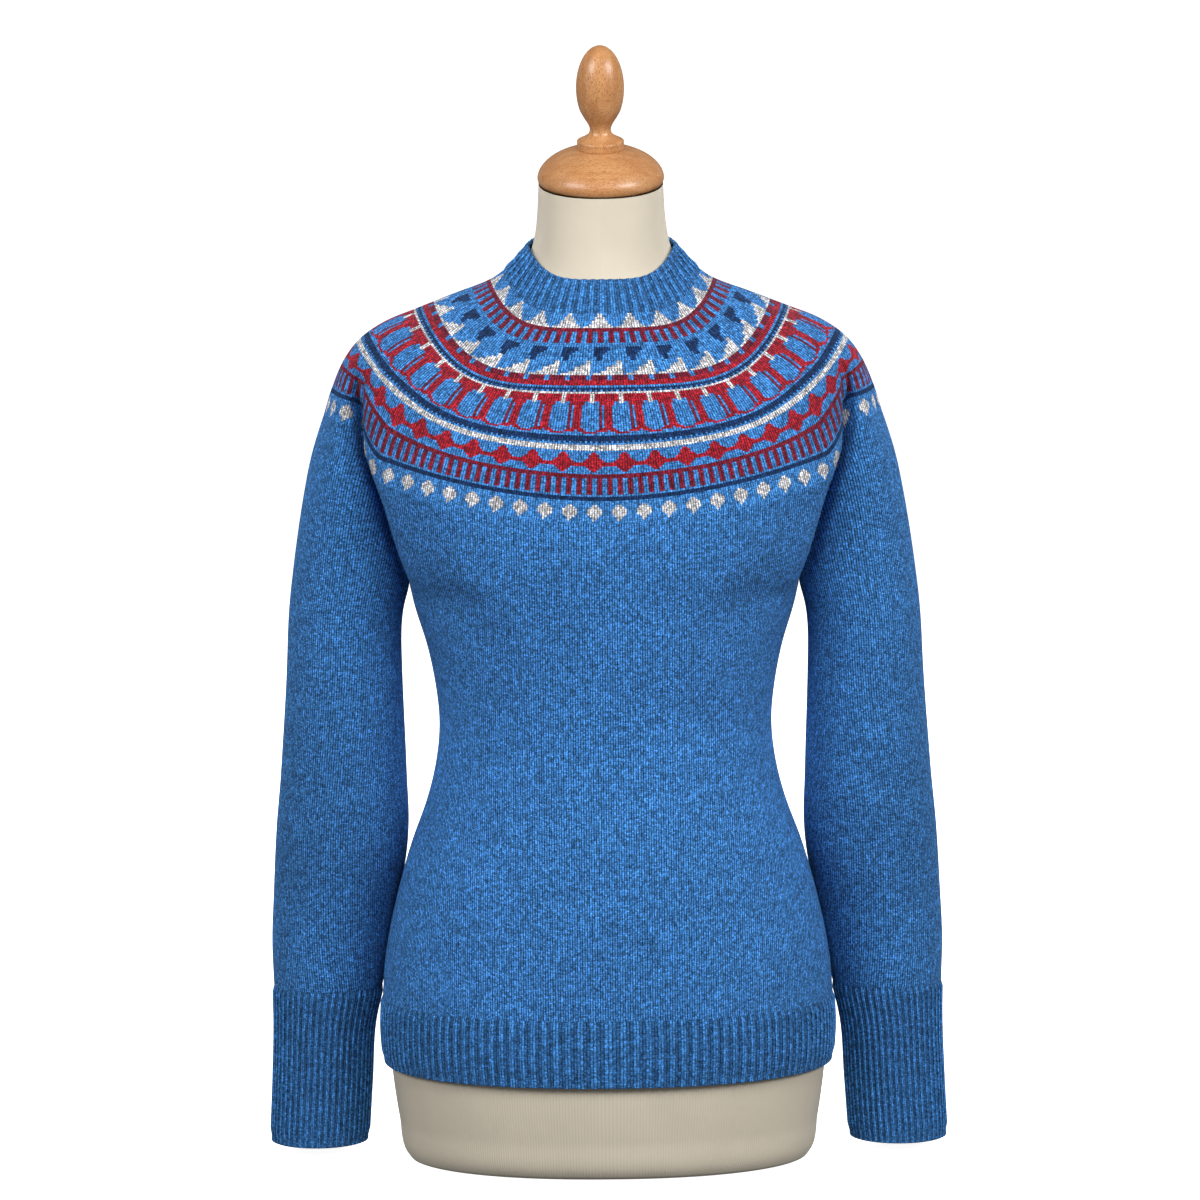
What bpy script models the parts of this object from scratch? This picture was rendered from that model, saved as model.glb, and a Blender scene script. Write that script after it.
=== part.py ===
"""A fair isle sweater on a limbless dress form, as separate closed solids.

Metres, +Z up, the front of the sweater faces -Y and the wearer's left is +X.
The origin is on the floor, under the middle of the whole.
"""
import math
from collections import namedtuple

import bmesh
import bpy
import numpy as np

# Cloth and seams
WALL = 0.0020
RIB_WALL = 0.0018
RIB_HEIGHT = 0.0014
SEAM_GAP = 0.0003
MERGE = 0.00001

# Stitches: each rib of the 2x2 ribbing is two raised and two sunk columns
NECK_RIBS = 56
HEM_RIBS = 128
CUFF_RIBS = 40

# Mesh columns round the body and round a sleeve
PANEL_COLUMNS = 16
SLEEVE_COLUMNS = 14

# Plan of the body's rings: 2 is an ellipse, more is squarer
PLAN_POWER = 2.2
CREASE_SPREAD = math.radians(9.0)
SIDE_Y = 0.005
PANEL_RISE = 1.7

# Rings of the neckband and yoke, from the neck's edge down. Each one passes its
# front point, its widest point at the side and its back point. rise says how
# late it climbs to the shoulder; the armhole crease starts in the last rings.
Ring = namedtuple("Ring", "half_width side_y side_z front_y front_z back_y back_z "
                          "rise crease_angle crease_depth")
NECK_RINGS = [
    Ring(0.0580, 0.004, 0.7120, -0.0560, 0.6880, 0.0600, 0.7220, 2.0, 60.0, 0.0),
    Ring(0.0655, 0.004, 0.7010, -0.0640, 0.6770, 0.0670, 0.7110, 2.2, 60.0, 0.0),
    Ring(0.0760, 0.004, 0.6920, -0.0735, 0.6640, 0.0770, 0.7000, 2.4, 60.0, 0.0),
]
YOKE_RINGS = [
    NECK_RINGS[-1],
    Ring(0.0870, 0.004, 0.6850, -0.0800, 0.6520, 0.0850, 0.6900, 2.5, 61.0, 0.0),
    Ring(0.1130, 0.004, 0.6755, -0.0890, 0.6330, 0.0950, 0.6720, 2.5, 63.0, 0.0),
    Ring(0.1430, 0.004, 0.6640, -0.0990, 0.6070, 0.1040, 0.6480, 2.4, 66.0, 0.0),
    Ring(0.1680, 0.003, 0.6540, -0.1070, 0.5860, 0.1100, 0.6270, 2.1, 68.0, 0.0),
    Ring(0.1880, 0.003, 0.6400, -0.1140, 0.5650, 0.1140, 0.6050, 1.9, 68.0, 0.004),
    Ring(0.2010, 0.003, 0.6220, -0.1190, 0.5450, 0.1165, 0.5840, 1.8, 66.0, 0.010),
    Ring(0.2095, 0.003, 0.6020, -0.1230, 0.5280, 0.1180, 0.5640, 1.7, 62.0, 0.017),
    Ring(0.2155, 0.003, 0.5830, -0.1260, 0.5100, 0.1190, 0.5450, 1.7, 57.0, 0.024),
]

# Rows from the yoke's lower edge to the underarm. The sleeve's section is an
# ellipse left open on its inner side, as far round as opening says, and the
# body's panels end on that opening's two edges, the armhole creases.
ArmholeRow = namedtuple("ArmholeRow", "outer_z crease_z inner_x outer_x centre_y half_depth "
                                      "opening front_y front_z back_y back_z")
ARMHOLE_ROWS = [
    ArmholeRow(0.583, 0.5500, 0.1390, 0.2155, 0.003, 0.0500, 96.0, -0.1260, 0.510, 0.1190, 0.5450),
    ArmholeRow(0.552, 0.5270, 0.1420, 0.2255, 0.004, 0.0475, 76.0, -0.1260, 0.497, 0.1175, 0.5260),
    ArmholeRow(0.522, 0.5020, 0.1445, 0.2318, 0.004, 0.0470, 61.0, -0.1250, 0.484, 0.1150, 0.5050),
    ArmholeRow(0.494, 0.4810, 0.1470, 0.2366, 0.005, 0.0465, 48.0, -0.1230, 0.472, 0.1120, 0.4860),
    ArmholeRow(0.472, 0.4640, 0.1490, 0.2398, 0.005, 0.0460, 33.0, -0.1207, 0.461, 0.1092, 0.4690),
    ArmholeRow(0.457, 0.4535, 0.1505, 0.2418, 0.005, 0.0460, 17.0, -0.1187, 0.453, 0.1072, 0.4565),
    ArmholeRow(0.448, 0.4480, 0.1510, 0.2430, 0.005, 0.0460, 0.0, -0.1175, 0.448, 0.1060, 0.4480),
]

# Body below the underarm, down to the top of the ribbed hem
BodyRow = namedtuple("BodyRow", "z half_width front_y back_y")
BODY_ROWS = [
    BodyRow(0.4480, 0.1503, -0.1175, 0.1060),
    BodyRow(0.4360, 0.1478, -0.1152, 0.1040),
    BodyRow(0.4060, 0.1385, -0.1090, 0.0985),
    BodyRow(0.3740, 0.1320, -0.1025, 0.0940),
    BodyRow(0.3430, 0.1290, -0.0990, 0.0925),
    BodyRow(0.3120, 0.1320, -0.0995, 0.0975),
    BodyRow(0.2800, 0.1400, -0.1030, 0.1050),
    BodyRow(0.2480, 0.1520, -0.1070, 0.1125),
    BodyRow(0.2160, 0.1612, -0.1100, 0.1185),
    BodyRow(0.1850, 0.1687, -0.1120, 0.1225),
    BodyRow(0.1550, 0.1740, -0.1130, 0.1243),
    BodyRow(0.1275, 0.1760, -0.1130, 0.1248),
]
HEM_ROWS = [
    BodyRow(0.1275, 0.1758, -0.1128, 0.1244),
    BodyRow(0.1020, 0.1768, -0.1132, 0.1246),
    BodyRow(0.0760, 0.1750, -0.1120, 0.1230),
]

# Sleeve below the underarm, down to the top of the cuff, then the cuff
SleeveRow = namedtuple("SleeveRow", "z inner_x outer_x centre_y half_depth")
SLEEVE_ROWS = [
    SleeveRow(0.4370, 0.1550, 0.2443, 0.006, 0.0460),
    SleeveRow(0.4190, 0.1575, 0.2458, 0.007, 0.0460),
    SleeveRow(0.3880, 0.1577, 0.2473, 0.009, 0.0462),
    SleeveRow(0.3560, 0.1570, 0.2495, 0.012, 0.0468),
    SleeveRow(0.3240, 0.1560, 0.2521, 0.015, 0.0478),
    SleeveRow(0.2930, 0.1553, 0.2547, 0.019, 0.0488),
    SleeveRow(0.2620, 0.1545, 0.2581, 0.024, 0.0490),
    SleeveRow(0.2300, 0.1575, 0.2606, 0.031, 0.0475),
    SleeveRow(0.1980, 0.1645, 0.2626, 0.037, 0.0450),
    SleeveRow(0.1660, 0.1705, 0.2643, 0.038, 0.0425),
    SleeveRow(0.1300, 0.1772, 0.2632, 0.036, 0.0395),
]
CUFF_ROWS = [
    SleeveRow(0.1300, 0.1776, 0.2628, 0.036, 0.0390),
    SleeveRow(0.1020, 0.1842, 0.2622, 0.032, 0.0350),
    SleeveRow(0.0550, 0.1875, 0.2634, 0.026, 0.0332),
    SleeveRow(0.0090, 0.1905, 0.2655, 0.020, 0.0335),
]

# Dress form: how far it stays inside the cloth, its arm plates and its base
FORM_EASE = 0.0030
FORM_BODY_EASE = 0.0045
PLATE_X = 0.1450
PLATE_LEAN = 0.12
FORM_RINGS = [
    Ring(0.0478, -0.001, 0.7566, -0.0490, 0.7460, 0.0465, 0.7672, 0.5, 60.0, 0.0),
    Ring(0.0492, 0.000, 0.7350, -0.0492, 0.7240, 0.0485, 0.7460, 1.0, 60.0, 0.0),
    Ring(0.0507, 0.001, 0.7220, -0.0500, 0.7070, 0.0505, 0.7330, 1.5, 60.0, 0.0),
    Ring(0.0540, 0.003, 0.7090, -0.0525, 0.6900, 0.0550, 0.7200, 2.0, 60.0, 0.0),
]
FORM_BASE_ROWS = [
    BodyRow(0.1020, 0.1715, -0.1080, 0.1185),
    BodyRow(0.0660, 0.1690, -0.1055, 0.1160),
    BodyRow(0.0300, 0.1640, -0.1005, 0.1100),
    BodyRow(0.0040, 0.1590, -0.0955, 0.1050),
    BodyRow(0.0000, 0.1560, -0.0925, 0.1020),
]

# Turned wood: radius and height along the axis from the cap's rim
TURN_STEPS = 28
CAP_TILT = math.radians(12.5)
CAP_CENTRE = (0.0, -0.0015, 0.7570)
CAP_PROFILE = [
    (0.0000, 0.0240), (0.0190, 0.0240), (0.0250, 0.0225), (0.0330, 0.0195), (0.0400, 0.0155),
    (0.0450, 0.0112), (0.0480, 0.0065), (0.0486, 0.0030), (0.0474, 0.0000), (0.0000, 0.0000),
]
EGG_RADIUS = 0.0186
EGG_CENTRE = 0.0750
EGG_HALF_LENGTH = 0.0330
EGG_STEP = math.radians(15.0)
EGG_STEPS = 8
FINIAL_FOOT = [
    (0.0118, 0.0485), (0.0094, 0.0440), (0.0085, 0.0395), (0.0098, 0.0350), (0.0130, 0.0318),
    (0.0165, 0.0303), (0.0181, 0.0288), (0.0181, 0.0258), (0.0168, 0.0243), (0.0000, 0.0243),
]


def make_material(name, colour, roughness):
    material = bpy.data.materials.new(name)
    material.use_nodes = True
    surface = material.node_tree.nodes["Principled BSDF"]
    surface.inputs["Base Color"].default_value = (*colour, 1.0)
    surface.inputs["Roughness"].default_value = roughness
    surface.inputs["Metallic"].default_value = 0.0
    return material


def signed_power(value, power):
    return math.copysign(abs(value) ** power, value)


def ring_point(ring, angle):
    """A point of a ring: angle 0 is the front, 90 degrees the wearer's left."""
    end_y = ring.front_y if math.cos(angle) > 0 else ring.back_y
    end_z = ring.front_z if math.cos(angle) > 0 else ring.back_z
    reach = abs(math.cos(angle)) ** (2 / PLAN_POWER)
    x = ring.half_width * signed_power(math.sin(angle), 2 / PLAN_POWER)
    y = ring.side_y + (end_y - ring.side_y) * reach
    z = end_z + (ring.side_z - end_z) * abs(math.sin(angle)) ** (2 * ring.rise)
    from_crease = math.acos(abs(math.cos(angle))) - math.radians(ring.crease_angle)
    sunk = ring.crease_depth * math.exp(-(from_crease / CREASE_SPREAD) ** 2)
    y += math.copysign(sunk, math.cos(angle))
    return np.array([x, y, z])


def front_angles(crease):
    return [crease * (2 * i / PANEL_COLUMNS - 1) for i in range(PANEL_COLUMNS + 1)]


def side_angles(crease):
    sweep = math.pi - 2 * crease
    return [crease + sweep * i / SLEEVE_COLUMNS for i in range(SLEEVE_COLUMNS + 1)]


def ring_angles(ring):
    """Column angles once round, with a column on each of the four creases."""
    crease = math.radians(ring.crease_angle)
    front = front_angles(crease)
    left = side_angles(crease)
    half = front[:-1] + left[:-1]
    return half + [angle + math.pi for angle in half]


def ring_row(ring):
    return [ring_point(ring, angle) for angle in ring_angles(ring)]


def body_point(row, angle):
    end_y = row.front_y if math.cos(angle) > 0 else row.back_y
    x = row.half_width * signed_power(math.sin(angle), 2 / PLAN_POWER)
    y = SIDE_Y + (end_y - SIDE_Y) * abs(math.cos(angle)) ** (2 / PLAN_POWER)
    return np.array([x, y, row.z])


def sleeve_angles(opening):
    """Angles from one crease round the outside to the other; 0 is the inner side."""
    sweep = 2 * (math.pi - opening)
    return [opening + sweep * i / SLEEVE_COLUMNS for i in range(SLEEVE_COLUMNS + 1)]


def sleeve_point(row, z, angle):
    centre_x = (row.inner_x + row.outer_x) / 2
    half_width = (row.outer_x - row.inner_x) / 2
    x = centre_x - half_width * math.cos(angle)
    y = row.centre_y - row.half_depth * math.sin(angle)
    return np.array([x, y, z])


def crease_point(row, towards):
    """The armhole crease at a row: towards is -1 at the front, 1 at the back."""
    angle = math.radians(row.opening)
    point = sleeve_point(row, row.crease_z, angle)
    point[1] = row.centre_y + towards * row.half_depth * math.sin(angle)
    return point


def faded(rows, edge):
    """Let rows take over the shape of the edge above them, less with each row."""
    shift = np.array(edge) - np.array(rows[0])
    count = len(ARMHOLE_ROWS) - 1
    return [np.array(row) + shift * max(0.0, 1 - i / count) ** 2 for i, row in enumerate(rows)]


def below_seam(rows):
    """Drop the first row from the seam line by the seam's gap."""
    step = rows[1] - rows[0]
    length = np.linalg.norm(step, axis=1, keepdims=True)
    rows[0] = rows[0] + step / length * SEAM_GAP
    return rows


def panel_rows(towards, yoke_edge):
    """Rows of the front (towards -1) or back (1) panel, walked so that they face out."""
    rows = []
    for row in ARMHOLE_ROWS[:-1]:
        edge = crease_point(row, towards)
        centre_y = row.front_y if towards < 0 else row.back_y
        centre_z = row.front_z if towards < 0 else row.back_z
        points = []
        for angle in front_angles(math.pi / 2):
            x = -towards * edge[0] * signed_power(math.sin(angle), 2 / PLAN_POWER)
            y = edge[1] + (centre_y - edge[1]) * abs(math.cos(angle)) ** (2 / PLAN_POWER)
            z = centre_z + (edge[2] - centre_z) * abs(math.sin(angle)) ** (2 * PANEL_RISE)
            points.append(np.array([x, y, z]))
        rows.append(points)
    for row in BODY_ROWS:
        points = []
        for angle in front_angles(math.pi / 2):
            turned = angle if towards < 0 else math.pi + angle
            points.append(body_point(row, turned))
        for end in (points[0], points[-1]):
            end[1] += towards * SEAM_GAP / 2
        rows.append(points)
    return below_seam(faded(rows, yoke_edge))


def panel_normals(rows, yoke_normals):
    """A panel faces straight sideways along its side seams, and as the yoke does above."""
    normals = wall_normals(rows)
    normals[0] = yoke_normals
    for row in normals[len(ARMHOLE_ROWS) - 1:]:
        for end in (0, -1):
            row[end] = (math.copysign(1.0, row[end][0]), 0.0, 0.0)
    return normals


def sleeve_rows(yoke_edge):
    """Rows of the wearer's left sleeve, from the front crease round to the back one."""
    rows = []
    for row in ARMHOLE_ROWS:
        points = []
        for i, angle in enumerate(sleeve_angles(math.radians(row.opening))):
            along = math.cos(math.pi * i / SLEEVE_COLUMNS) ** 2
            z = row.outer_z + (row.crease_z - row.outer_z) * along
            points.append(sleeve_point(row, z, angle))
        rows.append(points)
    for row in SLEEVE_ROWS:
        rows.append([sleeve_point(row, row.z, angle) for angle in sleeve_angles(0.0)])
    rows = below_seam(faded(rows, yoke_edge))
    for points in rows[:len(ARMHOLE_ROWS) - 1]:
        points[0][0] += SEAM_GAP
        points[-1][0] += SEAM_GAP
    rows[-1][:, 2] += SEAM_GAP / 2
    return rows


def mirrored(rows):
    """The same rows, or directions, on the wearer's right, walked so that they face out."""
    return [[point * np.array([-1, 1, 1]) for point in reversed(list(row))] for row in rows]


def grid_mesh(name, rows):
    """One layer of quads through closed rows that run from the right side over the front."""
    mesh = bpy.data.meshes.new(name)
    grid = bmesh.new()
    lines = [[grid.verts.new(point) for point in row] for row in rows]
    for upper, lower in zip(lines, lines[1:]):
        count = len(upper)
        for i in range(count):
            j = (i + 1) % count
            grid.faces.new((upper[i], lower[i], lower[j], upper[j]))
    grid.to_mesh(mesh)
    grid.free()
    mesh.shade_smooth()
    return mesh


def add_object(collection, name, mesh, material):
    piece = bpy.data.objects.new(name, mesh)
    collection.objects.link(piece)
    mesh.materials.append(material)
    return piece


def is_round(row):
    return np.allclose(row[0], row[-1])


def wall_normals(rows):
    """Directions out of the cloth at each point of a grid of rows."""
    points = np.array(rows)
    along = np.gradient(points, axis=1)
    for i, row in enumerate(points):
        if is_round(row):
            along[i, 0] = along[i, -1] = (row[1] - row[-2]) / 2
    down = np.gradient(points, axis=0)
    normals = np.cross(down, along)
    return normals / np.linalg.norm(normals, axis=2, keepdims=True)


def add_cloth(collection, name, rows, normals, material):
    """Cloth of even thickness: the rows outside, and the same rows inside it.

    A row that ends where it starts is a closed round; the other rows end in a rim.
    """
    points = np.array(rows)
    inside = points - normals * WALL
    count = points.shape[1]
    mesh = bpy.data.meshes.new(name)
    cloth = bmesh.new()
    outer = [[cloth.verts.new(point) for point in row] for row in points]
    inner = [[cloth.verts.new(point) for point in row] for row in inside]
    for i in range(len(points) - 1):
        for j in range(count - 1):
            cloth.faces.new((outer[i][j], outer[i + 1][j], outer[i + 1][j + 1], outer[i][j + 1]))
            cloth.faces.new((inner[i][j + 1], inner[i + 1][j + 1], inner[i + 1][j], inner[i][j]))
        if not (is_round(points[i]) and is_round(points[i + 1])):
            cloth.faces.new((outer[i][0], inner[i][0], inner[i + 1][0], outer[i + 1][0]))
            cloth.faces.new((outer[i + 1][-1], inner[i + 1][-1], inner[i][-1], outer[i][-1]))
    for j in range(count - 1):
        cloth.faces.new((outer[0][j], outer[0][j + 1], inner[0][j + 1]))
        cloth.faces.new((outer[0][j], inner[0][j + 1], inner[0][j]))
        cloth.faces.new((outer[-1][j], inner[-1][j], inner[-1][j + 1]))
        cloth.faces.new((outer[-1][j], inner[-1][j + 1], outer[-1][j + 1]))
    bmesh.ops.remove_doubles(cloth, verts=cloth.verts, dist=MERGE)
    cloth.to_mesh(mesh)
    cloth.free()
    mesh.shade_smooth()
    return add_object(collection, name, mesh, material)


def outward(rows):
    """Level directions out of closed rows, by their neighbours along the row."""
    normals = []
    for row in rows:
        points = np.array(row)
        along = np.roll(points, -1, axis=0) - np.roll(points, 1, axis=0)
        level = np.stack([-along[:, 1], along[:, 0], np.zeros(len(points))], axis=1)
        normals.append(-level / np.linalg.norm(level, axis=1, keepdims=True))
    return normals


def add_ribbing(collection, name, rows, material):
    """Ribbed cloth: raised ridges outside, a plain inside with half the points."""
    normals = outward(rows)
    mesh = bpy.data.meshes.new(name)
    band = bmesh.new()
    outer, inner = [], []
    for row, normal in zip(rows, normals):
        heights = [RIB_HEIGHT * (i % 2) for i in range(len(row))]
        raised = [p + n * height for p, n, height in zip(row, normal, heights)]
        outer.append([band.verts.new(point) for point in raised])
        inner.append([band.verts.new(p - n * RIB_WALL) for p, n in zip(row[::2], normal[::2])])
    count = len(outer[0])
    for upper, lower in zip(outer, outer[1:]):
        for i in range(count):
            j = (i + 1) % count
            band.faces.new((upper[i], lower[i], lower[j], upper[j]))
    half = count // 2
    for upper, lower in zip(inner, inner[1:]):
        for i in range(half):
            j = (i + 1) % half
            band.faces.new((upper[j], lower[j], lower[i], upper[i]))
    for level, up in ((0, True), (-1, False)):
        for i in range(half):
            j = (i + 1) % half
            foot, ridge = outer[level][2 * i:2 * i + 2]
            next_foot = outer[level][2 * j]
            inside, next_inside = inner[level][i], inner[level][j]
            rim = [(foot, ridge, inside), (ridge, next_inside, inside), (ridge, next_foot, next_inside)]
            for corners in rim:
                band.faces.new(corners if up else corners[::-1])
    band.to_mesh(mesh)
    band.free()
    mesh.shade_smooth()
    return add_object(collection, name, mesh, material)


def even_angles(count):
    return [2 * math.pi * i / count for i in range(count)]


def neckband_rows():
    angles = even_angles(2 * NECK_RIBS)
    rows = [[ring_point(ring, angle) for angle in angles] for ring in NECK_RINGS]
    rows[-1] = [point + np.array([0.0, 0.0, SEAM_GAP]) for point in rows[-1]]
    return rows


def hem_rows():
    angles = even_angles(2 * HEM_RIBS)
    rows = [[body_point(row, angle) for angle in angles] for row in HEM_ROWS]
    rows[0] = [point - np.array([0.0, 0.0, SEAM_GAP]) for point in rows[0]]
    return rows


def cuff_rows():
    angles = even_angles(2 * CUFF_RIBS)
    rows = [[sleeve_point(row, row.z, angle) for angle in angles] for row in CUFF_ROWS]
    rows[0] = [point - np.array([0.0, 0.0, SEAM_GAP / 2]) for point in rows[0]]
    return rows


def shrunk(rows, ease):
    """Rows moved inwards, square to the surface that they lie on."""
    points = np.array(rows)
    along = np.roll(points, -1, axis=1) - np.roll(points, 1, axis=1)
    down = np.gradient(points, axis=0)
    normal = np.cross(down, along)
    normal /= np.linalg.norm(normal, axis=2, keepdims=True)
    return points - normal * np.array(ease)[:, None, None]


def form_rows():
    """Rows of the dress form: its neck, then the cloth's own shape moved inwards."""
    skin = [ring_row(ring)[::2] for ring in YOKE_RINGS]
    angles = ring_angles(YOKE_RINGS[-1])[::2]
    under = [[body_point(row, angle) for angle in angles] for row in BODY_ROWS]
    eases = [FORM_EASE] * len(skin) + [FORM_BODY_EASE] * len(under)
    inside = shrunk(skin + under, eases)
    for row in inside:
        plate = PLATE_X + PLATE_LEAN * np.maximum(row[:, 2] - BODY_ROWS[0].z, 0.0)
        limit = np.where(row[:, 2] < BODY_ROWS[1].z, BODY_ROWS[0].half_width * 2, plate)
        row[:, 0] = np.clip(row[:, 0], -limit, limit)
    neck = [[ring_point(ring, angle) for angle in ring_angles(ring)[::2]] for ring in FORM_RINGS]
    for point in neck[0]:
        point[2] = CAP_CENTRE[2] + (point[1] - CAP_CENTRE[1]) * math.tan(CAP_TILT) - SEAM_GAP
    base = [[body_point(row, angle) for angle in angles] for row in FORM_BASE_ROWS]
    return neck + list(inside) + base


def add_torso(collection, material):
    mesh = grid_mesh("form_torso", form_rows())
    body = bmesh.new()
    body.from_mesh(mesh)
    bmesh.ops.holes_fill(body, edges=[edge for edge in body.edges if edge.is_boundary])
    bmesh.ops.recalc_face_normals(body, faces=body.faces)
    body.to_mesh(mesh)
    body.free()
    return add_object(collection, "form_torso", mesh, material)


def add_turned(collection, name, profile, material):
    """Turned wood on the form's tilted neck axis, from a profile run top to bottom."""
    mesh = bpy.data.meshes.new(name)
    points = [(radius, 0.0, height) for radius, height in profile]
    mesh.from_pydata(points, [(i, i + 1) for i in range(len(points) - 1)], [])
    piece = add_object(collection, name, mesh, material)
    piece.location = CAP_CENTRE
    piece.rotation_euler = (CAP_TILT, 0.0, 0.0)
    turn = piece.modifiers.new("turn", "SCREW")
    turn.steps = TURN_STEPS
    turn.render_steps = TURN_STEPS
    turn.use_merge_vertices = True
    turn.merge_threshold = MERGE
    turn.use_smooth_shade = True
    return piece


def finial_profile():
    """The egg from its tip down, then the waist and ring under it."""
    turns = [EGG_STEP * step for step in range(EGG_STEPS + 1)]
    egg = [(EGG_RADIUS * math.sin(turn), EGG_CENTRE + EGG_HALF_LENGTH * math.cos(turn)) for turn in turns]
    return egg + FINIAL_FOOT


def main():
    for old in list(bpy.data.objects):
        bpy.data.objects.remove(old, do_unlink=True)
    collection = bpy.data.collections.new("fair_isle_sweater")
    bpy.context.scene.collection.children.link(collection)
    wool = make_material("blue_wool", (0.045, 0.170, 0.430), 0.90)
    pattern = make_material("patterned_wool", (0.320, 0.060, 0.120), 0.90)
    rib = make_material("ribbed_wool", (0.035, 0.130, 0.340), 0.90)
    jersey = make_material("cream_jersey", (0.780, 0.700, 0.570), 0.85)
    wood = make_material("varnished_beech", (0.680, 0.330, 0.140), 0.30)

    yoke = [ring_row(ring) + [ring_row(ring)[0]] for ring in YOKE_RINGS]
    yoke_normals = wall_normals(yoke)
    add_cloth(collection, "yoke", yoke, yoke_normals, pattern)
    add_ribbing(collection, "neckband", neckband_rows(), rib)
    left = PANEL_COLUMNS
    back = left + SLEEVE_COLUMNS
    right = back + PANEL_COLUMNS
    for name, towards, first, last in (("front_panel", -1, 0, left), ("back_panel", 1, back, right)):
        rows = panel_rows(towards, yoke[-1][first:last + 1])
        normals = panel_normals(rows, yoke_normals[-1][first:last + 1])
        add_cloth(collection, name, rows, normals, wool)
    add_ribbing(collection, "hem_rib", hem_rows(), rib)
    sleeve = sleeve_rows(yoke[-1][left:back + 1])
    sleeve_normals = wall_normals(sleeve)
    sleeve_normals[0] = yoke_normals[-1][left:back + 1]
    add_cloth(collection, "sleeve_left", sleeve, sleeve_normals, wool)
    add_cloth(collection, "sleeve_right", mirrored(sleeve), np.array(mirrored(sleeve_normals)), wool)
    add_ribbing(collection, "cuff_left", cuff_rows(), rib)
    add_ribbing(collection, "cuff_right", mirrored(cuff_rows()), rib)
    add_torso(collection, jersey)
    add_turned(collection, "form_cap", CAP_PROFILE, wood)
    add_turned(collection, "form_finial", finial_profile(), wood)


main()
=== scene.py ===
import math
from collections import namedtuple

import bpy
import numpy as np
from mathutils import Euler, Matrix, Vector


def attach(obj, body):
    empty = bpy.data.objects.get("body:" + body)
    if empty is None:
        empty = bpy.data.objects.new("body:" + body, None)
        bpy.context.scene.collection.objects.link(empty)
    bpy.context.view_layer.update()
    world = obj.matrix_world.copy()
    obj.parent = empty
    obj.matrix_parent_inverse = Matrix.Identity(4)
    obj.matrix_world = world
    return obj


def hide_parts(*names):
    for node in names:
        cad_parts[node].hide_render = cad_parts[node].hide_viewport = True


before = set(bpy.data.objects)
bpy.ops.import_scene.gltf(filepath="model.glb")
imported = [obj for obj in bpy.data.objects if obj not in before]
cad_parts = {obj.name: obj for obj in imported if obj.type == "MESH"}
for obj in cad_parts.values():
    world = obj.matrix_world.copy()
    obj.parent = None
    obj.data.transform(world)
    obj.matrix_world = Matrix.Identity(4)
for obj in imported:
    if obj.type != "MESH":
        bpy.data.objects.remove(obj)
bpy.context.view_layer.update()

# Metres. The front of the sweater faces -Y and the wearer's left is +X.

# Cloth
RIB_WALL = 0.0016
RIB_HEIGHT = 0.0019
STITCH = 0.0019
STITCH_ROW = 0.0014
NECK_RIBS = 56
HEM_RIBS = 128
CUFF_RIBS = 48
POINTS_PER_RIB = 10
HEM_POINTS_PER_RIB = 8
COLUMNS_PER_RIB = 4
RIB_SQUARENESS = 1.6
RIB_EASE_ROWS = 3.0
SEAM_EASE_ROWS = 2.0
RIM_RIB = 0.35
RIM_TURNS = (15, 35, 60, 90, 120, 150, 180)
NECK_RIM = 0.0030
HEM_RIM = 0.0022
NECK_TURN_IN = 0.030
HEM_TURN_IN = 0.012
CUFF_TURN_IN = 0.020
TURN_IN_TAPER = 0.9

# Fineness of the meshes
PANEL_COLUMNS = 200
SLEEVE_COLUMNS = 144
FORM_COLUMNS = 160
NECK_ROWS = 9
ROW_STEP = 0.0030
RING_SAMPLES = 1440
PANEL_EASE_PASSES = 12
RIB_EASE_PASSES = 2

# Plan of the body's rings: 2 is an ellipse, more is squarer
PLAN_POWER = 2.2
CREASE_SPREAD = math.radians(9.0)
SIDE_Y = 0.005
PANEL_RISE = 1.7

# How a ring climbs to the shoulder: the power of the gentle climb, and the stretch from
# front to side, as a sine, in which a stepped ring climbs at once
EARLY_POWER = 1.65
STEP_FROM = 0.79
STEP_TO = 0.93

# How far a panel or sleeve starts above its seam, and how far inside the yoke
SEAM_LAP = 0.0015
TUCK = 0.0005

# The sharp fold along each armhole, in the front's and the back's cloth alike: its depth
# by height and how far it reaches to each side, the body's cloth that bulges over it, the
# narrow slit in it, how far the cloth is pulled in towards the body, and how it fades
# towards the side
CREASE_DEPTHS = [(0.436, 0.000), (0.448, 0.006), (0.465, 0.013), (0.490, 0.018), (0.520, 0.022),
                 (0.555, 0.023), (0.575, 0.021), (0.592, 0.016), (0.606, 0.009), (0.624, 0.000)]
CREASE_BODY_SPREAD = 0.0045
CREASE_SLEEVE_SPREAD = 0.0085
CREASE_OVERLAP = 0.42
CREASE_OVERLAP_SPREAD = 0.0170
CREASE_SLIT = 0.75
CREASE_SLIT_HALF = 0.0026
CREASE_SLIT_SHIFT = 0.0052
CREASE_PULL = 0.44
CREASE_PULL_SPREAD = 0.0220
CREASE_ROUNDING = 0.0025
CREASE_SIDE_FADE = 0.020
FOLD_SIDE_FADE = 0.030

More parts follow.
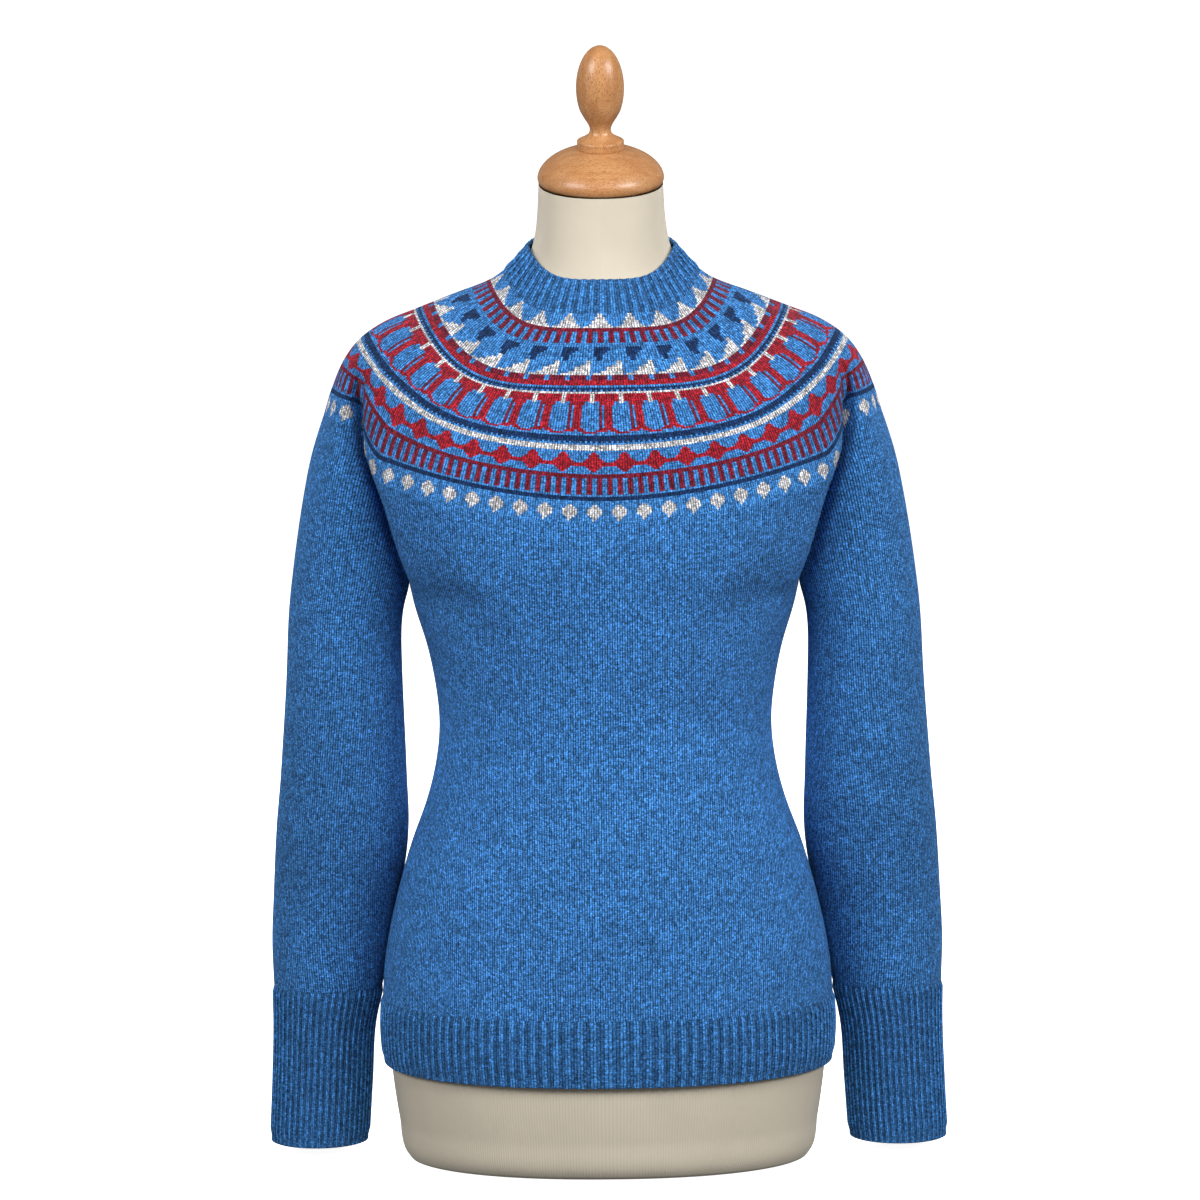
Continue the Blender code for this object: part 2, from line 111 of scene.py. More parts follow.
# Soft folds in the cloth, each a low ridge or trough: where its middle is, how far it turns
# from upright, its half length and half width, how far it stands out and which side it is on.
Fold = namedtuple("Fold", "x z turn length width height facing")
FRONT, BACK = -1, 1
FOLDS = [
    Fold(-0.104, 0.434, -38.0, 0.046, 0.012, -0.0026, FRONT),
    Fold(-0.088, 0.452, -50.0, 0.040, 0.012, 0.0016, FRONT),
    Fold(0.101, 0.436, 36.0, 0.042, 0.013, -0.0024, FRONT),
    Fold(0.084, 0.455, 47.0, 0.044, 0.012, 0.0014, FRONT),
    Fold(-0.062, 0.330, 70.0, 0.050, 0.014, -0.0014, FRONT),
    Fold(0.070, 0.352, -66.0, 0.046, 0.015, -0.0012, FRONT),
    Fold(0.012, 0.205, 84.0, 0.070, 0.016, 0.0012, FRONT),
    Fold(-0.110, 0.445, 34.0, 0.050, 0.013, -0.0028, BACK),
    Fold(0.114, 0.440, -30.0, 0.046, 0.014, -0.0026, BACK),
    Fold(0.020, 0.350, 83.0, 0.085, 0.012, -0.0030, BACK),
    Fold(-0.015, 0.322, 95.0, 0.075, 0.013, -0.0026, BACK),
    Fold(0.045, 0.298, 78.0, 0.060, 0.014, 0.0020, BACK),
    Fold(-0.214, 0.292, 62.0, 0.034, 0.013, -0.0024, FRONT),
    Fold(-0.196, 0.262, 74.0, 0.030, 0.012, -0.0018, FRONT),
    Fold(0.211, 0.300, -58.0, 0.036, 0.012, -0.0022, FRONT),
    Fold(0.204, 0.248, -70.0, 0.032, 0.014, -0.0020, FRONT),
    Fold(-0.208, 0.275, -66.0, 0.036, 0.012, -0.0026, BACK),
    Fold(0.210, 0.268, 60.0, 0.034, 0.013, -0.0028, BACK),
    Fold(-0.226, 0.166, 58.0, 0.034, 0.012, -0.0016, FRONT),
    Fold(0.222, 0.158, -64.0, 0.030, 0.012, -0.0018, FRONT),
]

# A ring passes its front point, its widest point at the side and its back point. rise says
# how late it climbs to the shoulder, early which share of the climb is gentle and starts
# at the front, and step which share comes all at once at the armhole. The armhole's soft
# dent lies crease_angle degrees round from the front or back and is crease_depth deep.
Ring = namedtuple("Ring", "half_width side_y side_z front_y front_z back_y back_z "
                          "rise crease_angle crease_depth early step")
NECK_RINGS = [
    Ring(0.0580, 0.004, 0.7120, -0.0560, 0.6880, 0.0600, 0.7220, 2.0, 60.0, 0.0, 0.00, 0.0),
    Ring(0.0655, 0.004, 0.7010, -0.0640, 0.6770, 0.0670, 0.7110, 2.2, 60.0, 0.0, 0.00, 0.0),
    Ring(0.0760, 0.004, 0.6920, -0.0735, 0.6640, 0.0770, 0.7000, 2.4, 60.0, 0.0, 0.00, 0.0),
]
YOKE_RINGS = [
    NECK_RINGS[-1],
    Ring(0.0870, 0.004, 0.6850, -0.0800, 0.6520, 0.0850, 0.6900, 2.5, 61.0, 0.000, 0.00, 0.0),
    Ring(0.1130, 0.004, 0.6755, -0.0890, 0.6330, 0.0950, 0.6720, 2.5, 63.0, 0.000, 0.02, 0.0),
    Ring(0.1430, 0.004, 0.6640, -0.0990, 0.6070, 0.1040, 0.6480, 2.4, 66.0, 0.000, 0.06, 0.0),
    Ring(0.1680, 0.003, 0.6540, -0.1070, 0.5860, 0.1100, 0.6270, 2.2, 68.0, 0.000, 0.20, 0.0),
    Ring(0.1880, 0.003, 0.6400, -0.1140, 0.5650, 0.1140, 0.6050, 2.2, 68.0, 0.002, 0.35, 0.0),
    Ring(0.2010, 0.003, 0.6220, -0.1190, 0.5450, 0.1165, 0.5840, 2.3, 66.0, 0.006, 0.48, 0.5),
    Ring(0.2095, 0.003, 0.6020, -0.1230, 0.5280, 0.1180, 0.5640, 2.4, 62.5, 0.012, 0.55, 1.0),
    Ring(0.2155, 0.003, 0.5830, -0.1260, 0.5100, 0.1190, 0.5450, 2.4, 59.0, 0.018, 0.55, 1.0),
]

# Rows from the yoke's lower edge to the underarm: the sleeve's section is open on
# its inner side as far round as opening says, and the panels end on its two edges
ArmholeRow = namedtuple("ArmholeRow", "outer_z crease_z inner_x outer_x centre_y half_depth "
                                      "opening front_y front_z back_y back_z")
ARMHOLE_ROWS = [
    ArmholeRow(0.583, 0.5500, 0.1390, 0.2155, 0.003, 0.0500, 96.0, -0.1260, 0.510, 0.1190, 0.5450),
    ArmholeRow(0.552, 0.5270, 0.1420, 0.2255, 0.004, 0.0475, 76.0, -0.1260, 0.497, 0.1175, 0.5260),
    ArmholeRow(0.522, 0.5020, 0.1445, 0.2318, 0.004, 0.0470, 61.0, -0.1250, 0.484, 0.1150, 0.5050),
    ArmholeRow(0.494, 0.4810, 0.1470, 0.2366, 0.005, 0.0465, 48.0, -0.1230, 0.472, 0.1120, 0.4860),
    ArmholeRow(0.472, 0.4640, 0.1490, 0.2398, 0.005, 0.0460, 33.0, -0.1207, 0.461, 0.1092, 0.4690),
    ArmholeRow(0.457, 0.4535, 0.1505, 0.2418, 0.005, 0.0460, 17.0, -0.1187, 0.453, 0.1072, 0.4565),
    ArmholeRow(0.448, 0.4480, 0.1510, 0.2430, 0.005, 0.0460, 0.0, -0.1175, 0.448, 0.1060, 0.4480),
]

BodyRow = namedtuple("BodyRow", "z half_width front_y back_y")
BODY_ROWS = [
    BodyRow(0.4480, 0.1503, -0.1175, 0.1060),
    BodyRow(0.4360, 0.1478, -0.1150, 0.1040),
    BodyRow(0.4060, 0.1385, -0.1090, 0.0985),
    BodyRow(0.3740, 0.1320, -0.1025, 0.0940),
    BodyRow(0.3430, 0.1290, -0.0990, 0.0925),
    BodyRow(0.3120, 0.1320, -0.0995, 0.0975),
    BodyRow(0.2800, 0.1400, -0.1030, 0.1050),
    BodyRow(0.2480, 0.1520, -0.1070, 0.1125),
    BodyRow(0.2160, 0.1612, -0.1100, 0.1185),
    BodyRow(0.1850, 0.1687, -0.1120, 0.1225),
    BodyRow(0.1550, 0.1740, -0.1130, 0.1243),
    BodyRow(0.1275, 0.1760, -0.1130, 0.1248),
]
HEM_ROWS = [
    BodyRow(0.1275, 0.1758, -0.1128, 0.1244),
    BodyRow(0.1020, 0.1768, -0.1132, 0.1246),
    BodyRow(0.0760, 0.1750, -0.1120, 0.1230),
]
SleeveRow = namedtuple("SleeveRow", "z inner_x outer_x centre_y half_depth")
SLEEVE_ROWS = [
    SleeveRow(0.4370, 0.1550, 0.2443, 0.006, 0.0460),
    SleeveRow(0.4190, 0.1575, 0.2458, 0.007, 0.0460),
    SleeveRow(0.3880, 0.1577, 0.2473, 0.009, 0.0462),
    SleeveRow(0.3560, 0.1570, 0.2495, 0.012, 0.0468),
    SleeveRow(0.3240, 0.1560, 0.2521, 0.015, 0.0478),
    SleeveRow(0.2930, 0.1553, 0.2547, 0.019, 0.0488),
    SleeveRow(0.2620, 0.1545, 0.2581, 0.024, 0.0490),
    SleeveRow(0.2300, 0.1575, 0.2606, 0.031, 0.0475),
    SleeveRow(0.1980, 0.1645, 0.2626, 0.037, 0.0450),
    SleeveRow(0.1660, 0.1705, 0.2643, 0.038, 0.0425),
    SleeveRow(0.1300, 0.1772, 0.2632, 0.036, 0.0395),
]
CUFF_ROWS = [
    SleeveRow(0.1300, 0.1776, 0.2628, 0.036, 0.0390),
    SleeveRow(0.1020, 0.1842, 0.2622, 0.032, 0.0350),
    SleeveRow(0.0550, 0.1875, 0.2634, 0.026, 0.0332),
    SleeveRow(0.0090, 0.1905, 0.2655, 0.020, 0.0335),
]

# Dress form: how far its skin lies inside the cloth, with more room at the bust, the flat
# plates that close its armholes, and its base
FORM_EASE = 0.0045
FORM_BODY_EASE = 0.0050
BUST_EASES = [0.0060, 0.0090, 0.0130, 0.0100, 0.0070]
BUST_BODY_ROWS = 2
PLATE_X = 0.1440
PLATE_LEAN = 0.12
CAP_GAP = 0.0003
BASE_PARTS = (0.98, 0.6, 0.2, 0.0)
WALES_PER_COLUMN = 3.0
FORM_RINGS = [
    Ring(0.0478, -0.001, 0.7566, -0.0490, 0.7460, 0.0465, 0.7672, 0.5, 60.0, 0.0, 0.00, 0.0),
    Ring(0.0492, 0.000, 0.7350, -0.0492, 0.7240, 0.0485, 0.7460, 1.0, 60.0, 0.0, 0.00, 0.0),
    Ring(0.0507, 0.001, 0.7220, -0.0500, 0.7070, 0.0505, 0.7330, 1.5, 60.0, 0.0, 0.00, 0.0),
    Ring(0.0540, 0.003, 0.7090, -0.0525, 0.6900, 0.0550, 0.7200, 2.0, 60.0, 0.0, 0.00, 0.0),
]
FORM_BASE_ROWS = [
    BodyRow(0.1020, 0.1715, -0.1080, 0.1185),
    BodyRow(0.0660, 0.1690, -0.1055, 0.1160),
    BodyRow(0.0300, 0.1640, -0.1005, 0.1100),
    BodyRow(0.0040, 0.1590, -0.0955, 0.1050),
    BodyRow(0.0000, 0.1560, -0.0925, 0.1020),
]

# Turned wood: radius and height along the axis from the cap's rim
TURN_STEPS = 96
CAP_TILT = math.radians(12.5)
CAP_CENTRE = (0.0, -0.0015, 0.7600)
CAP_PROFILE = [
    (0.0000, 0.0268), (0.0190, 0.0266), (0.0250, 0.0252), (0.0330, 0.0220), (0.0400, 0.0177),
    (0.0450, 0.0128), (0.0480, 0.0074), (0.0486, 0.0033), (0.0474, 0.0000), (0.0000, 0.0000),
]
CAP_CORNERS = (1, 8)
CAP_PROFILE_STEP = 0.0012
EGG_RADIUS = 0.0184
EGG_CENTRE = 0.0742
EGG_HALF_LENGTH = 0.0330
EGG_TURNS = range(0, 125, 5)
FINIAL_FOOT = [
    (0.0122, 0.0505), (0.0094, 0.0460), (0.0081, 0.0417), (0.0090, 0.0386), (0.0127, 0.0358),
    (0.0175, 0.0334), (0.0180, 0.0328), (0.0180, 0.0270), (0.0176, 0.0264), (0.0000, 0.0264),
]
FINIAL_CORNERS = (30, 31, 32, 33)
FINIAL_PROFILE_STEP = 0.0010

# The yoke's chart, band by band from the neck down: how many stitches go round, which
# stitch of the repeat lies on the centre front, how far down the front the band starts,
# and its rows. b blue, w white, r red, d dark red, n navy.
Band = namedtuple("Band", "stitches centre start rows")
YOKE_BANDS = [
    Band(264, 6.9, 0.0000, ["bbbbbwwbbbbb"] * 2 + ["bbbbwwwwbbbb"] * 2 + ["bbbwwwwwwbbb"] * 2
         + ["bbwwwwwwwwbb", "wwwwwwwwwwwb"]),
    Band(288, 1.6, 0.0120, ["dddd"] * 2 + ["ddbb"] * 6),
    Band(324, 6.1, 0.0242, ["bbbbbbbbbbbb"] * 2 + ["bbbnnnnnnbbb"] * 2
         + ["bbbnnnnnbbbb", "bbbnnnnbbbbb", "bbbnnnbbbbbb"] + ["bbbbnnbbbbbb"] * 2),
    Band(360, 3.5, 0.0384, ["bbbbbbbbbwwb"] * 2 + ["bbbbbbbwwwwb"] + ["bbbbbwwwwwwb"] * 2
         + ["bbbwwwwwwwwb", "wwwwwwwwwwwb"]),
    Band(384, 1.3, 0.0497, ["dddbbddd"] * 3 + ["rrrrrrrr"] * 3),
    Band(400, 0.0, 0.0578, ["bb", "nn", "nb", "ww"]),
    Band(468, 4.4, 0.0643, ["wrrrrrrrrrrw"] * 4 + ["wbbrrrrrrbbw", "bbbdrrrrrbbb"]
         + ["bbbdbrrrbbbb"] * 12
         + ["bbbdrrrrrbbb", "bbrrrrbrrrbb", "rrbbbbbbbrrr", "bbbbbbbbbbbb"]),
    Band(500, 0.0, 0.0970, ["nn"] * 3 + ["nb", "bb"] + ["ww"] * 3 + ["bb"]),
    Band(540, 9.7, 0.1100, ["bbbbbrrbbbbb"] + ["bbbbrrrrbbbb"] * 2 + ["bbbrrrrrrbbb", "bbrrrrrrrrbb"]
         + ["rrrrrrrrrrrr"] * 2 + ["bbbrrrrrrbbb", "bbbbrrrrbbbb", "bbbbbrrbbbbb", "bbbbbbbbbbbb"]),
    Band(568, 2.5, 0.1265, ["dddd"] * 2 + ["ddbb"] * 8 + ["bbbb"]),
    Band(610, 8.7, 0.1436, ["nnnnnnnnnn"] * 2 + ["bbbbbbbbbb"] * 2 + ["bbbbwwbbbb", "bbbwwwwbbb"]
         + ["bbwwwwwwbb"] * 3 + ["bbbwwwwbbb", "bbbbwwbbbb", "bbbbwbbbbb", "bbbbbbbbbb"]),
]

# How far the two legs of a stitch lean, as a share of a row
V_DEPTH = 0.40

# Where the armhole's fold is measured on the yoke: the share of its length, and in how many rings
CREASE_STRETCH = (0.6, 0.99)
CREASE_RINGS = 12

# Each piece of cloth as it was knitted, flat: its width and length over all, its area where
# it isn't a rectangle, how it is held and what it lies on or hangs from.
Cut = namedtuple("Cut", "width length area held rests_on")

# Yarn colours, linear
YARNS = {
    "b": (0.052, 0.228, 0.590),
    "w": (0.625, 0.615, 0.630),
    "r": (0.380, 0.012, 0.023),
    "d": (0.200, 0.011, 0.028),
    "n": (0.008, 0.032, 0.115),
}
JERSEY_COLOUR = (0.650, 0.580, 0.460)

# White set: the backdrop is a round wall of flat sides
FLOOR_REACH = 4.0
FLOOR_Z = -0.001
FLOOR_GLOW = 0.95
BACKDROP_RADIUS = 9.0
BACKDROP_SIDES = 32
BACKDROP_GLOW = 1.0

# Studio light: a weak white from all round, and softboxes aimed at one place each
WORLD_COLOUR = (0.95, 0.97, 1.0, 1.0)
WORLD_STRENGTH = 0.16
Softbox = namedtuple("Softbox", "name place target size power glossy")
SOFTBOXES = [
    Softbox("key_left", (-2.3, -2.1, 1.9), (0.0, 0.0, 0.50), (1.9, 1.1), 58.0, True),
    Softbox("key_right", (2.4, -2.1, 1.9), (0.0, 0.0, 0.50), (1.9, 1.1), 76.0, True),
    Softbox("key_top", (0.08, -1.5, 1.7), (0.0, 0.0, 0.48), (1.0, 0.8), 18.0, False),
    Softbox("back_left", (-1.7, 2.5, 1.7), (0.0, 0.0, 0.48), (1.0, 0.8), 70.0, False),
    Softbox("back_right", (1.7, 2.5, 1.7), (0.0, 0.0, 0.48), (1.0, 0.8), 70.0, False),
]

# Camera: sensor and lens in millimetres
CAMERA_PLACE = (-0.0034, -4.0, 0.928)
CAMERA_SENSOR = 36.0
CAMERA_LENS = 156.0
CAMERA_PITCH = math.radians(83.0)
CAMERA_ROLL = math.radians(-0.5)


def signed_power(value, power):
    return np.sign(value) * np.abs(value) ** power


def spaced(table, chord, places):
    """Rows of a table at places along it, on a smooth curve through the given rows."""
    gaps = np.diff(chord)
    shape = (-1,) + (1,) * (table.ndim - 1)
    slopes = np.diff(table, axis=0) / gaps.reshape(shape)
    tangents = np.empty_like(table)
    tangents[0] = slopes[0]
    tangents[-1] = slopes[-1]
    weight = (gaps[:-1] / (gaps[:-1] + gaps[1:])).reshape(shape)
    tangents[1:-1] = slopes[:-1] * (1 - weight) + slopes[1:] * weight
    places = np.clip(places, chord[0], chord[-1])
    first = np.clip(np.searchsorted(chord, places, side="right") - 1, 0, len(gaps) - 1)
    gap = gaps[first]
    t = (places - chord[first]) / gap
    t, gap = t.reshape(shape), gap.reshape(shape)
    return ((2 * t ** 3 - 3 * t ** 2 + 1) * table[first] + (t ** 3 - 2 * t ** 2 + t) * gap * tangents[first]
            + (3 * t ** 2 - 2 * t ** 3) * table[first + 1] + (t ** 3 - t ** 2) * gap * tangents[first + 1])


def chord_of(points):
    """Distance run along a line of points."""
    return np.concatenate([[0.0], np.cumsum(np.linalg.norm(np.diff(points, axis=0), axis=1))])


class RingTable:
    """Rings of the neck or yoke on one smooth surface, placed by the distance down the front."""

    def __init__(self, rings):
        self.table = np.array(rings)
        self.chord = chord_of(self.table[:, 3:5])
        self.length = self.chord[-1]

    def ring(self, place):
        return spaced(self.table, self.chord, np.array([place]))[0]


def ring_points(ring, angles):
    ring = Ring(*ring)
    cosine, sine = np.cos(angles), np.sin(angles)
    end_y = np.where(cosine > 0, ring.front_y, ring.back_y)
    end_z = np.where(cosine > 0, ring.front_z, ring.back_z)
    x = ring.half_width * signed_power(sine, 2 / PLAN_POWER)
    y = ring.side_y + (end_y - ring.side_y) * np.abs(cosine) ** (2 / PLAN_POWER)
    swing = np.abs(sine)
    along = np.clip((swing - STEP_FROM) / (STEP_TO - STEP_FROM), 0, 1)
    late = swing ** (2 * ring.rise) * (1 - ring.step) + (3 - 2 * along) * along ** 2 * ring.step
    climb = ring.early * swing ** EARLY_POWER + (1 - ring.early) * late
    z = end_z + (ring.side_z - end_z) * climb
    from_crease = np.arccos(np.clip(np.abs(cosine), 0, 1)) - math.radians(ring.crease_angle)
    y = y + np.sign(cosine) * ring.crease_depth * np.exp(-(from_crease / CREASE_SPREAD) ** 2)
    return np.stack([x, y, z], axis=1)


def angles_by_length(ring, fractions):
    """Angles at fractions of the way round a ring, measured on the cloth from the front."""
    angles = np.linspace(0, 2 * math.pi, RING_SAMPLES + 1)
    run = chord_of(ring_points(ring, angles))
    return np.interp(np.mod(fractions, 1.0) * run[-1], run, angles)


def front_angles(crease):
    return crease * (2 * np.arange(PANEL_COLUMNS + 1) / PANEL_COLUMNS - 1)


def side_angles(crease):
    return crease + (math.pi - 2 * crease) * np.arange(SLEEVE_COLUMNS + 1) / SLEEVE_COLUMNS


def body_points(row, angles):
    row = BodyRow(*row)
    end_y = np.where(np.cos(angles) > 0, row.front_y, row.back_y)
    x = row.half_width * signed_power(np.sin(angles), 2 / PLAN_POWER)
    y = SIDE_Y + (end_y - SIDE_Y) * np.abs(np.cos(angles)) ** (2 / PLAN_POWER)
    return np.stack([x, y, np.full_like(x, row.z)], axis=1)


def sleeve_points(row, z, angles):
    centre_x = (row.inner_x + row.outer_x) / 2
    half_width = (row.outer_x - row.inner_x) / 2
    x = centre_x - half_width * np.cos(angles)
    y = row.centre_y - row.half_depth * np.sin(angles)
    return np.stack([x, y, z + np.zeros_like(x)], axis=1)


def crease_point(row, towards):
    angle = math.radians(row.opening)
    point = sleeve_points(row, row.crease_z, np.array([angle]))[0]
    point[1] = row.centre_y + towards * row.half_depth * math.sin(angle)
    return point


def faded(rows, edge):
    """Let rows take over the shape of the edge above them, less with each row."""
    shift = edge - rows[0]
    count = len(ARMHOLE_ROWS) - 1
    return np.array([row + shift * max(0.0, 1 - i / count) ** 2 for i, row in enumerate(rows)])


def panel_rows(towards, yoke_edge):
    rows = []
    angles = front_angles(math.pi / 2)
    for row in ARMHOLE_ROWS[:-1]:
        edge = crease_point(row, towards)
        centre_y, centre_z = (row.front_y, row.front_z) if towards < 0 else (row.back_y, row.back_z)
        x = -towards * edge[0] * signed_power(np.sin(angles), 2 / PLAN_POWER)
        y = edge[1] + (centre_y - edge[1]) * np.abs(np.cos(angles)) ** (2 / PLAN_POWER)
        z = centre_z + (edge[2] - centre_z) * np.abs(np.sin(angles)) ** (2 * PANEL_RISE)
        rows.append(np.stack([x, y, z], axis=1))
    for row in BODY_ROWS:
        rows.append(body_points(row, angles if towards < 0 else math.pi + angles))
    return faded(rows, yoke_edge)


def sleeve_rows(yoke_edge):
    rows = []
    steps = np.arange(SLEEVE_COLUMNS + 1) / SLEEVE_COLUMNS
    for row in ARMHOLE_ROWS:
        opening = math.radians(row.opening)
        along = np.cos(math.pi * steps) ** 2
        z = row.outer_z + (row.crease_z - row.outer_z) * along
        rows.append(sleeve_points(row, z, opening + 2 * (math.pi - opening) * steps))
    for row in SLEEVE_ROWS:
        rows.append(sleeve_points(row, row.z, 2 * math.pi * steps))
    return faded(rows, yoke_edge)


def refined(rows):
    """The same surface in rows about ROW_STEP apart."""
    rows = np.array(rows)
    gaps = np.linalg.norm(np.diff(rows, axis=0), axis=2).mean(axis=1)
    chord = np.concatenate([[0.0], np.cumsum(gaps)])
    count = int(round(chord[-1] / ROW_STEP))
    return spaced(rows, chord, np.linspace(0, chord[-1], count + 1))


def eased(points, passes):
    """Even out small bends from row to row; the first and last rows stay."""
    points = points.copy()
    for _ in range(passes):
        points[1:-1] = (points[:-2] + 2 * points[1:-1] + points[2:]) / 4
    return points


class Crease:
    """The sharp fold where the body's cloth bulges over the sleeve, front and back.

    It follows the armhole on both sides; its depth is given by height at the front.
    """

    def __init__(self, line):
        order = np.argsort(line[:, 2])
        self.z = line[order, 2]
        self.x = line[order, 0]

    def push(self, points):
        x, y, z = points[..., 0], points[..., 1], points[..., 2]
        side = np.sign(x)
        facing = np.where(y < SIDE_Y, -1.0, 1.0)
        away = np.abs(x) - np.interp(z, self.z, self.x)
        levels, depths = zip(*CREASE_DEPTHS)
        depth = np.interp(z, levels, depths)
        spread = np.where(away < 0, CREASE_BODY_SPREAD, CREASE_SLEEVE_SPREAD)
        from_side = np.clip(np.abs(y - SIDE_Y) / CREASE_SIDE_FADE, 0.0, 1.0)
        slit = CREASE_SLIT * np.exp(-((away - CREASE_SLIT_SHIFT) / CREASE_SLIT_HALF) ** 2)
        sunk = depth * (np.exp(-np.abs(away) / spread) + slit) * from_side
        over = depth * CREASE_OVERLAP * np.exp(-(away / CREASE_OVERLAP_SPREAD) ** 2) * from_side
        over = over * (1 - np.exp(-np.abs(away) / CREASE_ROUNDING)) * (away < 0)
        moved = points.copy()
        pulled = depth * CREASE_PULL * np.exp(-np.abs(away) / CREASE_PULL_SPREAD) * from_side
        moved[..., 0] += side * (over - pulled)
        moved[..., 1] -= facing * sunk
        for item in FOLDS:
            turn = math.radians(item.turn)
            right, up = x - item.x, z - item.z
            along = (right * math.sin(turn) + up * math.cos(turn)) / item.length
            across = (right * math.cos(turn) - up * math.sin(turn)) / item.width
            on_side = np.clip(item.facing * (y - SIDE_Y) / FOLD_SIDE_FADE, 0.0, 1.0)
            moved[..., 1] += item.facing * item.height * np.exp(-along ** 2 - across ** 2) * on_side
        return moved


def grid_normals(points, closed):
    """Directions out of the cloth at each point of a grid."""
    if closed:
        along = np.roll(points, -1, axis=1) - np.roll(points, 1, axis=1)
    else:
        along = np.gradient(points, axis=1)
    normals = np.cross(np.gradient(points, axis=0), along)
    return normals / np.maximum(np.linalg.norm(normals, axis=2, keepdims=True), 1e-9)


def grid_quads(lines, count, across):
    """Corners of the quads in a grid of lines by count points, across quads wide."""
    row, column = np.meshgrid(np.arange(lines - 1), np.arange(across), indexing="ij")
    following = (column + 1) % count
    corners = np.stack([row * count + column, (row + 1) * count + column,
                        (row + 1) * count + following, row * count + following], axis=-1)
    return corners.reshape(-1, 4)


def grid_object(name, points, stitches, closed):
    """A mesh of quads through a grid of points, with the stitch count as its UV map."""
    lines, count = points.shape[:2]
    across = count if closed else count - 1
    uv = np.stack([stitches[:-1, :across], stitches[1:, :across],
                   stitches[1:, 1:across + 1], stitches[:-1, 1:across + 1]], axis=2)
    return quads_object(name, points.reshape(-1, 3), grid_quads(lines, count, across), uv.reshape(-1, 2))


def linked(name, data):
    """A new object in the scene."""
    thing = bpy.data.objects.new(name, data)
    bpy.context.scene.collection.objects.link(thing)
    return thing


def quads_object(name, vertices, quads, uv, yarn=None):
    """A smooth mesh with its stitch map and, where yarn is given, a colour for each quad."""
    mesh = bpy.data.meshes.new(name)
    mesh.from_pydata(vertices.tolist(), [], quads.tolist())
    layer = mesh.uv_layers.new(name="stitch")
    layer.data.foreach_set("uv", uv.astype(np.float32).ravel())
    if yarn is not None:
        colours = mesh.color_attributes.new("yarn", "FLOAT_COLOR", "CORNER")
        corners = np.concatenate([np.repeat(yarn, 4, axis=0), np.ones((len(yarn) * 4, 1))], axis=1)
        colours.data.foreach_set("color", corners.astype(np.float32).ravel())
    mesh.shade_smooth()
    return linked(name, mesh)


def measured(points, closed):
    """Stitches and rows at each point of a grid, by its size on the cloth."""
    run = points if not closed else np.concatenate([points, points[:, :1]], axis=1)
    across = np.linalg.norm(np.diff(run, axis=1), axis=2)
    u = np.concatenate([np.zeros((len(run), 1)), np.cumsum(across, axis=1)], axis=1)
    u -= u[:, [u.shape[1] // 2]]
    down = np.linalg.norm(np.diff(run, axis=0), axis=2)
    v = np.concatenate([np.zeros((1, run.shape[1])), np.cumsum(down, axis=0)], axis=0)
    return np.stack([u / STITCH, v / STITCH_ROW], axis=-1)


def add_yoke(fold):
    """The yoke, stitch by stitch: each stitch is two leaning legs in its chart's colour."""
    yoke = RingTable(YOKE_RINGS)
    vertices, quads, maps, colours = [], [], [], []
    first_vertex, first_row = 0, 0
    starts = [band.start for band in YOKE_BANDS] + [yoke.length]
    for band, start, end in zip(YOKE_BANDS, starts, starts[1:]):
        count = 2 * band.stitches
        step = (end - start) / len(band.rows)
        halves = np.arange(count)
        fractions = (halves / 2 - band.centre) / band.stitches
        for line in range(len(band.rows) + 1):
            place = start + step * line
            lean = 0.0 if line in (0, len(band.rows)) else V_DEPTH * step / 2
            angles = angles_by_length(yoke.ring(place), fractions)
            high = ring_points(yoke.ring(place - lean), angles)
            low = ring_points(yoke.ring(place + lean), angles)
            vertices.append(np.where((halves % 2)[:, None] == 1, low, high))
        following = (halves + 1) % count
        for line, chart in enumerate(band.rows):
            base = first_vertex + line * count
            quads.append(np.stack([base + halves, base + count + halves,
                                   base + count + following, base + following], axis=1))
            row = first_row + line
            u = halves / 2
            maps.append(np.stack([np.stack([u, u, u + 0.5, u + 0.5], axis=1),
                                  np.tile([row, row + 1.0, row + 1.0, row], (count, 1))], axis=2))
            letters = [chart[i % len(chart)] for i in range(band.stitches)]
            colours.append(np.repeat([YARNS[letter] for letter in letters], 2, axis=0))
        first_vertex += (len(band.rows) + 1) * count
        first_row += len(band.rows)
    return quads_object("yoke_knit", fold.push(np.concatenate(vertices)), np.concatenate(quads),
                        np.concatenate(maps).reshape(-1, 2), np.concatenate(colours))


def tucked(rows, above):
    """Start a piece a little above its seam, just inside the yoke, so no light shows through."""
    normals = grid_normals(np.array([above, rows[0], rows[1]]), False)
    return np.concatenate([[above - normals[0] * TUCK], [rows[0] - normals[1] * TUCK / 4], rows[1:]])


def rib_wave(phase):
    """Height of the ribbing, 0 to 1: two raised columns, then two sunk ones."""
    return 0.5 + 0.5 * np.clip(RIB_SQUARENESS * np.cos(phase), -1, 1)


